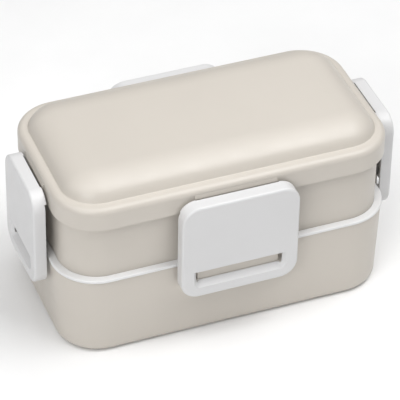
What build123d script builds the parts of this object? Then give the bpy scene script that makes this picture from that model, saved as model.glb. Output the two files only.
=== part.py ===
from build123d import *
import math
import os

# Two-tier lunch box. Millimetres, +Z up, +X along the length, -Y is the front.
# The origin is the middle of the rest face under the lower container.
# HALF values are (half length along X, half width along Y) of a rounded rectangle.

# ---- lower container ----
LOWER_TOP_Z = 42.0
LOWER_TOP_HALF = (80.2, 42.8)
LOWER_BASE_HALF = (79.0, 42.1)
LOWER_CORNER = 20.4
LOWER_WALL = 1.8
LOWER_FLOOR = 2.0
LOWER_EDGE_ROUND = 4.0
LOWER_INSIDE_ROUND = 3.0
RIM_ROUND = 0.5

# ---- middle lid, the white one between the tiers ----
BAND_HALF = (80.7, 43.5)
BAND_CORNER = 21.2
BAND_THICK = 1.8
BAND_ROUND = 0.85
PLUG_GAP = 0.7              # from a lid's plug to the container wall around it
PLUG_DEPTH = 5.0            # below the face that rests on the rim
PLUG_WALL = 2.2
SEAT_DEPTH = 1.2            # how far the upper container sinks into the middle lid
SEAT_GAP = 0.1
SEAT_SLOPE = 0.15           # how much the seat narrows towards its floor
PANEL_THICK = 1.8

# ---- gaskets ----
GROOVE_DEPTH = 0.9
GROOVE_HEIGHT = 2.0
GROOVE_BELOW = 2.0          # from the rim face down to the top of the groove
GASKET_GAP = 0.15
GASKET_PLAY = 0.05
GASKET_ROUND = 0.45

# ---- upper container ----
UPPER_HALF = (77.2, 40.1)
UPPER_CORNER = 18.5
UPPER_TOP_Z = 81.6
UPPER_WALL = 1.7
UPPER_FLOOR = 2.0
UPPER_EDGE_ROUND = 1.0
UPPER_INSIDE_ROUND = 2.5

# ---- lid ----
LID_HALF = (80.0, 43.0)
LID_CORNER = 20.8
LID_SKIRT_Z = 72.5
LID_SHELF_Z = 83.6
LID_WALL = 1.8
SHOULDER_ROUND = 2.8
CREASE_ROUND = 0.4
DOME_HALF = (74.8, 37.0)    # the foot of the dome's ellipse
DOME_CORNER = 15.7
DOME_RUN = 15.0             # how far in from its foot the ellipse levels out
DOME_RISE = 8.4
DOME_FOOT_SLOPE = 62.0      # degrees above the shelf, in place of the ellipse's upright foot
INNER_DOME_RUN = 13.6
INNER_DOME_RISE = 7.0
INNER_DOME_Z = 83.2
DOME_STEPS = 8

# ---- latches: "off" is the distance outward from the lid's skirt ----
WIDE_HALF = 28.3            # front and back latches
NARROW_HALF = 20.7          # left and right latches
LATCH_BOTTOM_Z = 28.1
LATCH_TOP_Z = 79.5
LATCH_CORNER = 8.6
RIM_OFF = 1.8               # where the top wall ends, between the cheeks
CHEEK_OFF = 1.05            # the cheeks at the ends of the hinge reach nearer to the lid
CHEEK_FROM_END = 8.3
CHEEK_BOTTOM_Z = 75.0
LOW_RIM_OFF = 2.2           # the rim below the cheeks
FACE_OFF = 8.0
LATCH_WALL = 1.2
LATCH_PLATE = 1.6
LATCH_EDGE_ROUND = 1.2
LATCH_RIM_ROUND = 0.6

HINGE_OFF = 4.4
HINGE_Z = 76.4
PIN_RADIUS = 1.0
EAR_RADIUS = 3.0
EAR_WIDTH = 3.6
EAR_FROM_END = 5.2
CLIP_BORE = 1.1
CLIP_RADIUS = 1.7
CLIP_WIDTH = 5.5
CLIP_MOUTH = 1.5
CLIP_PLACE = 0.56           # clip centre as a part of the pin's half length
CLIP_ARM_Z = (72.5, 73.6)
CLIP_ARM_OFF = (-1.0, 5.9)
CLIP_WEB_OFF = (3.3, 5.9)

SLOT_FROM_END = 8.3
SLOT_TOP_Z = 42.9
CATCH_TOP_Z = 36.05
CATCH_OFF = 5.1             # the bottom wall is also cut back to here, to pass the lug
CATCH_LAND_OFF = 5.35
CATCH_FACE_Z = 34.8
CATCH_ROOT_Z = 32.6
CATCH_ROOT = 0.1            # how far the catch reaches into the plate behind it
BEVEL_BOTTOM_Z = 33.6
BEVEL_RUN = 2.4
BEVEL_CORNER = 3.0
BEVEL_INNER_CORNER = 2.5
INNER_RIB_OFF = 3.9         # a stiffening rib inside, above the slot, reaches in to here
INNER_RIB_Z = (43.0, 44.2)

# ---- ramp on the skirt, behind the top of each latch ----
RAMP_TOP_Z = 80.8
RAMP_EDGE_Z = 79.2
RAMP_OFF = 0.6
RAMP_ROOT = -1.0
RAMP_SCOOP = 4.45           # radius about the pin that the latch's top edge needs to swing

# ---- lugs on the lower container ----
LUG_OFF = 4.9
LUG_ROOT = -1.5
LUG_BOTTOM_Z = 36.15
LUG_TOP_Z = 41.6
LUG_END_GAP = 0.2
LUG_ROUND = 0.3

# ---- divider ----
DIVIDER_X = 20.0
DIVIDER_THICK = 1.4
DIVIDER_HEIGHT = 27.0
DIVIDER_GAP = 0.3
DIVIDER_FOOT = (10.0, 1.2)
DIVIDER_CORNER = 3.0
DIVIDER_FOOT_CORNER = 2.0

# ---- tolerances for picking edges ----
CLOSE = 0.01

# side: (turn about Z, distance from the axis to the lid's skirt, latch half width)
SIDES = {
    "front": (0, LID_HALF[1], WIDE_HALF),
    "right": (90, LID_HALF[0], NARROW_HALF),
    "back": (180, LID_HALF[1], WIDE_HALF),
    "left": (270, LID_HALF[0], NARROW_HALF),
}


def shrink(half, amount):
    return (half[0] - amount, half[1] - amount)


def outline(half, corner, z):
    return Plane.XY.offset(z) * RectangleRounded(2 * half[0], 2 * half[1], corner)


def prism(half, corner, z0, z1):
    return extrude(outline(half, corner, z0), z1 - z0)


def drafted(half0, corner0, z0, half1, corner1, z1):
    sections = Sketch() + [outline(half0, corner0, z0), outline(half1, corner1, z1)]
    return loft(sections, ruled=True)


def edges_at(solid, z):
    return solid.edges().filter_by_position(Axis.Z, z - CLOSE, z + CLOSE)


def ring(outer_half, outer_corner, width, z0, z1):
    body = prism(outer_half, outer_corner, z0, z1)
    return body - prism(shrink(outer_half, width), outer_corner - width, z0, z1)


def place(shape, turn):
    return Rot(0, 0, turn) * shape


def side_box(x_half, distance, off0, off1, z0, z1, x_mid=0.0):
    """A box on the front side, given by how far it stands off the skirt."""
    size = Box(2 * x_half, off1 - off0, z1 - z0)
    return Pos(x_mid, -(distance + (off0 + off1) / 2), (z0 + z1) / 2) * size


def side_rod(radius, distance, off, z, x0, x1):
    rod = Cylinder(radius, x1 - x0, rotation=(0, 90, 0))
    return Pos((x0 + x1) / 2, -(distance + off), z) * rod


def side_profile(points, distance, x_half):
    """Extrude a closed (off, z) outline along X on the front side."""
    corners = [Vector(-x_half, -(distance + off), z) for off, z in points]
    face = make_face(Polyline(*corners, close=True))
    return extrude(face, 2 * x_half, dir=(1, 0, 0))


def lug(distance, half):
    reach = half - SLOT_FROM_END - LUG_END_GAP
    block = side_box(reach, distance, LUG_ROOT, LUG_OFF, LUG_BOTTOM_Z, LUG_TOP_Z)
    tip = block.faces().sort_by(Axis.Y)[0]
    return fillet(tip.edges(), LUG_ROUND)


def lower_container():
    body = drafted(LOWER_BASE_HALF, LOWER_CORNER, 0, LOWER_TOP_HALF, LOWER_CORNER, LOWER_TOP_Z)
    body = fillet(edges_at(body, 0), LOWER_EDGE_ROUND)
    hollow = drafted(
        shrink(LOWER_BASE_HALF, LOWER_WALL), LOWER_CORNER - LOWER_WALL, LOWER_FLOOR,
        shrink(LOWER_TOP_HALF, LOWER_WALL), LOWER_CORNER - LOWER_WALL, LOWER_TOP_Z,
    )
    hollow = fillet(edges_at(hollow, LOWER_FLOOR), LOWER_INSIDE_ROUND)
    body -= hollow
    body = fillet(edges_at(body, LOWER_TOP_Z), RIM_ROUND)
    for turn, distance, half in SIDES.values():
        body += place(lug(distance, half), turn)
    return body


def plug_half(wall_half):
    return shrink(wall_half, PLUG_GAP)


def gasket_groove(plug, corner, rim_z):
    top = rim_z - GROOVE_BELOW
    return ring(plug, corner, GROOVE_DEPTH, top - GROOVE_HEIGHT, top)


def gasket(plug, corner, rim_z):
    top = rim_z - GROOVE_BELOW - GASKET_PLAY
    bottom = top - GROOVE_HEIGHT + 2 * GASKET_PLAY
    reach = PLUG_GAP - GASKET_GAP
    outer = (plug[0] + reach, plug[1] + reach)
    body = ring(outer, corner + reach, GROOVE_DEPTH + reach, bottom, top)
    return fillet([edge for edge in body.edges() if on_outline(edge, outer)], GASKET_ROUND)


def on_outline(edge, half):
    """True for a flat edge that lies on the rounded rectangle's straight or round outer line."""
    box = edge.bounding_box()
    flat = box.size.Z < CLOSE
    reach_x = max(abs(box.min.X), abs(box.max.X))
    reach_y = max(abs(box.min.Y), abs(box.max.Y))
    return flat and (abs(reach_x - half[0]) < CLOSE or abs(reach_y - half[1]) < CLOSE)


LOWER_INNER_TOP = shrink(LOWER_TOP_HALF, LOWER_WALL)
MIDDLE_PLUG = plug_half(LOWER_INNER_TOP)
MIDDLE_PLUG_CORNER = LOWER_CORNER - LOWER_WALL - PLUG_GAP
BAND_TOP_Z = LOWER_TOP_Z + BAND_THICK
SEAT_Z = BAND_TOP_Z - SEAT_DEPTH
UPPER_INNER = shrink(UPPER_HALF, UPPER_WALL)
LID_PLUG = plug_half(UPPER_INNER)
LID_PLUG_CORNER = UPPER_CORNER - UPPER_WALL - PLUG_GAP


def middle_lid():
    band = prism(BAND_HALF, BAND_CORNER, LOWER_TOP_Z, BAND_TOP_Z)
    band = fillet(edges_at(band, BAND_TOP_Z) + edges_at(band, LOWER_TOP_Z), BAND_ROUND)
    plug = prism(MIDDLE_PLUG, MIDDLE_PLUG_CORNER, LOWER_TOP_Z - PLUG_DEPTH, LOWER_TOP_Z)
    plug_hollow = prism(
        shrink(MIDDLE_PLUG, PLUG_WALL), MIDDLE_PLUG_CORNER - PLUG_WALL,
        LOWER_TOP_Z - PLUG_DEPTH, SEAT_Z - PANEL_THICK,
    )
    seat_top = shrink(UPPER_HALF, -SEAT_GAP)
    seat = drafted(
        shrink(seat_top, SEAT_SLOPE), UPPER_CORNER + SEAT_GAP - SEAT_SLOPE, SEAT_Z,
        seat_top, UPPER_CORNER + SEAT_GAP, BAND_TOP_Z,
    )
    body = band + plug - plug_hollow - seat
    return body - gasket_groove(MIDDLE_PLUG, MIDDLE_PLUG_CORNER, LOWER_TOP_Z)


def middle_lid_gasket():
    return gasket(MIDDLE_PLUG, MIDDLE_PLUG_CORNER, LOWER_TOP_Z)


def upper_container():
    body = prism(UPPER_HALF, UPPER_CORNER, SEAT_Z, UPPER_TOP_Z)
    body = fillet(edges_at(body, SEAT_Z), UPPER_EDGE_ROUND)
    hollow = prism(UPPER_INNER, UPPER_CORNER - UPPER_WALL, SEAT_Z + UPPER_FLOOR, UPPER_TOP_Z)
    hollow = fillet(edges_at(hollow, SEAT_Z + UPPER_FLOOR), UPPER_INSIDE_ROUND)
    body -= hollow
    return fillet(edges_at(body, UPPER_TOP_Z), RIM_ROUND)


def divider():
    floor = SEAT_Z + UPPER_FLOOR
    width = UPPER_INNER[1] - DIVIDER_GAP
    wall = Pos(DIVIDER_X, 0, floor + DIVIDER_HEIGHT / 2) * Box(DIVIDER_THICK, 2 * width, DIVIDER_HEIGHT)
    wall = fillet(wall.edges().filter_by(Axis.X), DIVIDER_CORNER)
    foot_half = width - DIVIDER_CORNER
    foot_width, foot_height = DIVIDER_FOOT
    foot = Pos(DIVIDER_X, 0, floor + foot_height / 2) * Box(foot_width, 2 * foot_half, foot_height)
    foot = fillet(foot.edges().filter_by(Axis.Z), DIVIDER_FOOT_CORNER)
    return wall + foot


def dome_profile(run, rise):
    """(inset, height) steps up a straight slope and then the quarter ellipse that it is tangent to."""
    steep = math.tan(math.radians(DOME_FOOT_SLOPE))
    start = math.atan(rise / (run * steep))
    top = rise * math.sin(start)
    inset = run * (1 - math.cos(start))
    foot = [(inset - (top - height) / steep, height) for height in (0, top / 2)]
    turns = [start + (math.pi / 2 - start) * step / DOME_STEPS for step in range(DOME_STEPS + 1)]
    return foot + [(run * (1 - math.cos(turn)), rise * math.sin(turn)) for turn in turns]


def dome(half, corner, z, run, rise):
    """A rounded rectangle that slopes up and levels out all round."""
    sections = Sketch()
    for inset, height in dome_profile(run, rise):
        sections += outline(shrink(half, inset), corner - inset, z + height)
    return loft(sections)


def hinge_clip(distance, x_mid):
    """An arm under the skirt that ends in an open ring round the latch's pin."""
    half = CLIP_WIDTH / 2
    arm = side_box(half, distance, *CLIP_ARM_OFF, *CLIP_ARM_Z, x_mid)
    web = side_box(half, distance, *CLIP_WEB_OFF, CLIP_ARM_Z[0], HINGE_Z - CLIP_BORE, x_mid)
    x0 = x_mid - half
    x1 = x_mid + half
    body = arm + web + side_rod(CLIP_RADIUS, distance, HINGE_OFF, HINGE_Z, x0, x1)
    body -= side_rod(CLIP_BORE, distance, HINGE_OFF, HINGE_Z, x0, x1)
    mouth_off = (HINGE_OFF - CLIP_MOUTH / 2, HINGE_OFF + CLIP_MOUTH / 2)
    return body - side_box(half, distance, *mouth_off, HINGE_Z, HINGE_Z + CLIP_RADIUS, x_mid)


def pin_half(half):
    return half - EAR_FROM_END - EAR_WIDTH


def ramp(distance, half):
    """A sloped rib on the skirt that closes part of the gap to the latch's top edge."""
    reach = half - LATCH_CORNER
    section = [
        (RAMP_ROOT, RAMP_TOP_Z),
        (0, RAMP_TOP_Z),
        (RAMP_OFF, RAMP_EDGE_Z),
        (RAMP_OFF, HINGE_Z),
        (RAMP_ROOT, HINGE_Z),
    ]
    rib = side_profile(section, distance, reach)
    return rib - side_rod(RAMP_SCOOP, distance, HINGE_OFF, HINGE_Z, -reach, reach)


def lid():
    shell = prism(LID_HALF, LID_CORNER, LID_SKIRT_Z, LID_SHELF_Z)
    shell = fillet(edges_at(shell, LID_SHELF_Z), SHOULDER_ROUND)
    shell += dome(DOME_HALF, DOME_CORNER, LID_SHELF_Z, DOME_RUN, DOME_RISE)
    foot_inset, _ = dome_profile(DOME_RUN, DOME_RISE)[0]
    crease_half = shrink(DOME_HALF, foot_inset)
    crease = [edge for edge in edges_at(shell, LID_SHELF_Z) if on_outline(edge, crease_half)]
    shell = fillet(crease, CREASE_ROUND)
    shell -= prism(shrink(LID_HALF, LID_WALL), LID_CORNER - LID_WALL, LID_SKIRT_Z, UPPER_TOP_Z)
    shell += prism(LID_PLUG, LID_PLUG_CORNER, UPPER_TOP_Z - PLUG_DEPTH, UPPER_TOP_Z)
    inner = shrink(LID_PLUG, PLUG_WALL)
    inner_corner = LID_PLUG_CORNER - PLUG_WALL
    shell -= prism(inner, inner_corner, UPPER_TOP_Z - PLUG_DEPTH, INNER_DOME_Z)
    shell -= dome(inner, inner_corner, INNER_DOME_Z, INNER_DOME_RUN, INNER_DOME_RISE)
    shell -= gasket_groove(LID_PLUG, LID_PLUG_CORNER, UPPER_TOP_Z)
    for turn, distance, half in SIDES.values():
        shell += place(ramp(distance, half), turn)
        place_x = CLIP_PLACE * pin_half(half)
        for x_mid in (-place_x, place_x):
            shell += place(hinge_clip(distance, x_mid), turn)
    return shell


def lid_gasket():
    return gasket(LID_PLUG, LID_PLUG_CORNER, UPPER_TOP_Z)


def upright(sketch, distance, off):
    """Stand a sketch up on the front side, its Y becoming Z, at a distance off the skirt."""
    return Plane((0, -(distance + off), 0), x_dir=(1, 0, 0), z_dir=(0, -1, 0)) * sketch


def slot_section(half, bottom, corner):
    height = SLOT_TOP_Z - bottom
    shape = Pos(0, bottom + height / 2) * Rectangle(2 * half, height)
    low = shape.vertices().group_by(Axis.Y)[0]
    return fillet(low, corner)


def latch(distance, half):
    height = LATCH_TOP_Z - LATCH_BOTTOM_Z
    middle = Pos(0, (LATCH_TOP_Z + LATCH_BOTTOM_Z) / 2)
    outer = middle * RectangleRounded(2 * half, height, LATCH_CORNER)
    inner = middle * RectangleRounded(
        2 * (half - LATCH_WALL), height - 2 * LATCH_WALL, LATCH_CORNER - LATCH_WALL
    )
    body = extrude(upright(outer, distance, CHEEK_OFF), FACE_OFF - CHEEK_OFF)
    body = fillet(body.faces().sort_by(Axis.Y)[0].edges(), LATCH_EDGE_ROUND)
    body = fillet(body.faces().sort_by(Axis.Y)[-1].edges(), LATCH_RIM_ROUND)
    body -= extrude(upright(inner, distance, CHEEK_OFF), FACE_OFF - LATCH_PLATE - CHEEK_OFF)
    between = half - CHEEK_FROM_END
    body -= side_box(between, distance, CHEEK_OFF, RIM_OFF, CHEEK_BOTTOM_Z, LATCH_TOP_Z)
    body -= side_box(half, distance, CHEEK_OFF, LOW_RIM_OFF, LATCH_BOTTOM_Z, CHEEK_BOTTOM_Z)

    slot_half = half - SLOT_FROM_END
    root_off = FACE_OFF - LATCH_PLATE + CATCH_ROOT
    catch = [
        (root_off, CATCH_TOP_Z),
        (CATCH_OFF, CATCH_TOP_Z),
        (CATCH_OFF, CATCH_FACE_Z),
        (root_off, CATCH_ROOT_Z),
    ]
    body += side_profile(catch, distance, slot_half)
    rib_half = half - LATCH_WALL / 2
    body += side_box(rib_half, distance, INNER_RIB_OFF, root_off, *INNER_RIB_Z)
    mouth = slot_section(slot_half + BEVEL_RUN, BEVEL_BOTTOM_Z, BEVEL_CORNER)
    throat = slot_section(slot_half, CATCH_TOP_Z, BEVEL_INNER_CORNER)
    sections = Sketch() + [
        upright(mouth, distance, FACE_OFF),
        upright(throat, distance, CATCH_LAND_OFF),
    ]
    body -= loft(sections, ruled=True)
    body -= side_box(slot_half, distance, RIM_OFF, FACE_OFF, CATCH_TOP_Z, SLOT_TOP_Z)
    wall_top = LATCH_BOTTOM_Z + LATCH_WALL
    body -= side_box(slot_half, distance, RIM_OFF, CATCH_OFF, LATCH_BOTTOM_Z, wall_top)

    limit = extrude(upright(outer, distance, 0), FACE_OFF - LATCH_PLATE)
    reach = pin_half(half)
    ears = side_rod(EAR_RADIUS, distance, HINGE_OFF, HINGE_Z, reach, reach + EAR_WIDTH)
    ears += side_rod(EAR_RADIUS, distance, HINGE_OFF, HINGE_Z, -reach - EAR_WIDTH, -reach)
    body += ears & limit
    return body + side_rod(PIN_RADIUS, distance, HINGE_OFF, HINGE_Z, -reach, reach)


def save(shape, name):
    export_step(shape, f"parts/{name}.step")


os.makedirs("parts", exist_ok=True)
save(lower_container(), "lower_container")
save(middle_lid(), "middle_lid")
save(middle_lid_gasket(), "middle_lid_gasket")
save(upper_container(), "upper_container")
save(divider(), "divider")
save(lid(), "lid")
save(lid_gasket(), "lid_gasket")
for side, (turn, distance, half) in SIDES.items():
    save(place(latch(distance, half), turn), f"latch_{side}")
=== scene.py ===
import math

import bpy
from mathutils import Matrix, Vector

# Looks, camera and studio light of a two-tier lunch box. Metres, in the frame of the CAD model.
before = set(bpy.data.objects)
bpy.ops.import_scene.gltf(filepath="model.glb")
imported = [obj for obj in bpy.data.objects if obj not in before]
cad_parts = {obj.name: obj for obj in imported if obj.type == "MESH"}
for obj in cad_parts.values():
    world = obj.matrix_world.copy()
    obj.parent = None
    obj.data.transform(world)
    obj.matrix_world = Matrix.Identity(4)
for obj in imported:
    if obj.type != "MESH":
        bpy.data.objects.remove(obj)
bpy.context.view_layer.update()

# ---- camera ----
CAMERA_AZIMUTH = math.radians(-21.8)
CAMERA_ELEVATION = math.radians(38.76)
CAMERA_ROLL = math.radians(1.2)
CAMERA_DISTANCE = 1.2469
CAMERA_TARGET = Vector((0, 0, 0.042))
CAMERA_LENS = 240.9
CAMERA_SENSOR = 36
CAMERA_SHIFT = (-0.0003, -0.0061)
CAMERA_CLIP = (0.05, 20)

# ---- studio: name -> (azimuth, elevation, watts); azimuth 0 is in front, 90 on the right ----
SOFT_LIGHTS = {
    "overhead": (0, 90, 2.1),
    "key_front_right": (45, 62, 5.4),
    "side_right": (90, 62, 3.2),
    "back_right": (135, 62, 1.6),
    "side_left": (-90, 62, 1.8),
    "front_left": (-45, 62, 2.3),
    "low_back_right": (135, 30, 0.4),
    "low_side_left": (-90, 30, 0.65),
    "low_front_left": (-45, 30, 4.4),
}
LIGHT_DISTANCE = 1.2
LIGHT_SIZE = 0.6
LIGHT_AIM = Vector((0, 0, 0.05))
WORLD_STRENGTH = 0.1
FLOOR_SIZE = 6

# ---- plastics: linear base colour and mean roughness ----
BEIGE = (0.596, 0.555, 0.4995)
LATCH_WHITE = (0.68, 0.678, 0.6815)
BAND_WHITE = (0.764, 0.762, 0.762)
DIVIDER_WHITE = (0.70, 0.685, 0.66)
SILICONE = (0.72, 0.715, 0.70)
FLOOR_WHITE = (0.92, 0.92, 0.92)
SATIN = 0.38
DIVIDER_SATIN = 0.42
RUBBERY = 0.6
FLOOR_MATT = 0.8
ROUGHNESS_SPREAD = 0.05
TINT_SPREAD = 0.012
NOISE_LOW, NOISE_HIGH = 0.3, 0.7    # the range that most of a noise texture's values fall in

# ---- silicone: the only one that light sinks into; depths in metres for red, green and blue ----
SINK_DEPTH = (0.0012, 0.0010, 0.0008)
SILICONE_SUBSURFACE = 0.3
SILICONE_GRAIN = 2.0                # times the grain of the hard plastics

# Texture scales are features per metre, bump depths are metres.
CLOUD_SCALE = 24
GLOSS_SCALE = 130
GRAIN_SCALE = 3200
WAVE_SCALE = 34
GRAIN_DEPTH = 0.000012
WAVE_DEPTH = 0.00012
WAVE_STRENGTH = 0.25
GRAIN_STRENGTH = 1.0


def around(azimuth, elevation):
    """The unit vector that points from the object to a place at these angles."""
    a = math.radians(azimuth)
    e = math.radians(elevation)
    return Vector((math.sin(a) * math.cos(e), -math.cos(a) * math.cos(e), math.sin(e)))


def make_camera():
    back = around(math.degrees(CAMERA_AZIMUTH), math.degrees(CAMERA_ELEVATION))
    right = Vector((0, 0, 1)).cross(back).normalized()
    up = back.cross(right)
    turn = Matrix.Rotation(CAMERA_ROLL, 3, back)
    axes = Matrix((turn @ right, turn @ up, back)).transposed()
    data = bpy.data.cameras.new("camera")
    data.lens = CAMERA_LENS
    data.sensor_width = CAMERA_SENSOR
    data.shift_x, data.shift_y = CAMERA_SHIFT
    data.clip_start, data.clip_end = CAMERA_CLIP
    camera = bpy.data.objects.new("camera", data)
    camera.matrix_world = Matrix.Translation(CAMERA_TARGET + back * CAMERA_DISTANCE) @ axes.to_4x4()
    bpy.context.scene.collection.objects.link(camera)
    bpy.context.scene.camera = camera


def make_light(name, azimuth, elevation, watts):
    data = bpy.data.lights.new(name, "AREA")
    data.shape = "SQUARE"
    data.size = LIGHT_SIZE
    data.energy = watts
    light = bpy.data.objects.new(name, data)
    direction = around(azimuth, elevation)
    light.location = LIGHT_AIM + direction * LIGHT_DISTANCE
    light.rotation_mode = "QUATERNION"
    light.rotation_quaternion = (-direction).to_track_quat("-Z", "Y")
    bpy.context.scene.collection.objects.link(light)


def make_world():
    world = bpy.data.worlds.new("studio")
    world.use_nodes = True
    background = world.node_tree.nodes["Background"]
    background.inputs["Color"].default_value = (1, 1, 1, 1)
    background.inputs["Strength"].default_value = WORLD_STRENGTH
    bpy.context.scene.world = world


def noise(tree, scale, detail):
    """A noise texture fixed to the piece, so that it moves with it."""
    coordinates = tree.nodes.new("ShaderNodeTexCoord")
    texture = tree.nodes.new("ShaderNodeTexNoise")
    texture.inputs["Scale"].default_value = scale
    texture.inputs["Detail"].default_value = detail
    tree.links.new(coordinates.outputs["Object"], texture.inputs["Vector"])
    return texture.outputs["Fac"]


def spread(tree, source, low, high):
    """Stretch a noise value's usual range to low..high, and hold it there."""
    node = tree.nodes.new("ShaderNodeMapRange")
    node.inputs["From Min"].default_value = NOISE_LOW
    node.inputs["From Max"].default_value = NOISE_HIGH
    node.inputs["To Min"].default_value = low
    node.inputs["To Max"].default_value = high
    tree.links.new(source, node.inputs["Value"])
    return node.outputs["Result"]


def bump(tree, height, strength, depth, below=None):
    """A bump of this depth in metres, laid over the one below where there is one."""
    node = tree.nodes.new("ShaderNodeBump")
    node.inputs["Strength"].default_value = strength
    node.inputs["Distance"].default_value = depth
    tree.links.new(height, node.inputs["Height"])
    if below:
        tree.links.new(below, node.inputs["Normal"])
    return node.outputs["Normal"]


def tinted(colour, amount):
    """The colour made lighter by this share of itself, or darker where it is negative."""
    return (*(min(1, value * (1 + amount)) for value in colour), 1)


def moulded(name, colour, roughness=SATIN, grain=1.0, subsurface=0.0):
    """Moulded plastic: a faintly cloudy colour, uneven gloss, fine mould grain and slight sink waves."""
    made = bpy.data.materials.new(name)
    made.use_nodes = True
    tree = made.node_tree
    shader = tree.nodes["Principled BSDF"]

    cloud = tree.nodes.new("ShaderNodeValToRGB")
    dark, light = cloud.color_ramp.elements
    dark.position = NOISE_LOW
    dark.color = tinted(colour, -TINT_SPREAD)
    light.position = NOISE_HIGH
    light.color = tinted(colour, TINT_SPREAD)
    tree.links.new(noise(tree, CLOUD_SCALE, 4), cloud.inputs["Fac"])
    tree.links.new(cloud.outputs["Color"], shader.inputs["Base Color"])

    low = roughness - ROUGHNESS_SPREAD
    high = roughness + ROUGHNESS_SPREAD
    gloss = spread(tree, noise(tree, GLOSS_SCALE, 3), low, high)
    tree.links.new(gloss, shader.inputs["Roughness"])

    waves = bump(tree, noise(tree, WAVE_SCALE, 1), WAVE_STRENGTH, WAVE_DEPTH)
    skin = bump(tree, noise(tree, GRAIN_SCALE, 2), GRAIN_STRENGTH, GRAIN_DEPTH * grain, waves)
    tree.links.new(skin, shader.inputs["Normal"])

    shader.inputs["Subsurface Weight"].default_value = subsurface
    shader.inputs["Subsurface Radius"].default_value = SINK_DEPTH
    shader.inputs["Subsurface Scale"].default_value = 1.0
    return made


def dress(node, finish):
    """Give a CAD node one material in place of its own."""
    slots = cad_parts[node].data.materials
    slots.clear()
    slots.append(finish)


def make_floor():
    bpy.ops.mesh.primitive_plane_add(size=FLOOR_SIZE)
    floor = bpy.context.object
    floor.name = "floor"
    floor.data.materials.append(moulded("floor", FLOOR_WHITE, roughness=FLOOR_MATT))


make_camera()
make_world()
for light_name, place in SOFT_LIGHTS.items():
    make_light(light_name, *place)
make_floor()
bpy.context.scene.view_settings.view_transform = "Standard"

beige = moulded("beige_plastic", BEIGE)
band_white = moulded("white_lid_plastic", BAND_WHITE)
latch_white = moulded("latch_plastic", LATCH_WHITE)
silicone = moulded("silicone", SILICONE, RUBBERY, SILICONE_GRAIN, SILICONE_SUBSURFACE)
divider_white = moulded("divider_plastic", DIVIDER_WHITE, DIVIDER_SATIN)
for node in ("lower_container", "upper_container", "lid"):
    dress(node, beige)
for node in ("latch_front", "latch_back", "latch_left", "latch_right"):
    dress(node, latch_white)
for node in ("lid_gasket", "middle_lid_gasket"):
    dress(node, silicone)
dress("middle_lid", band_white)
dress("divider", divider_white)
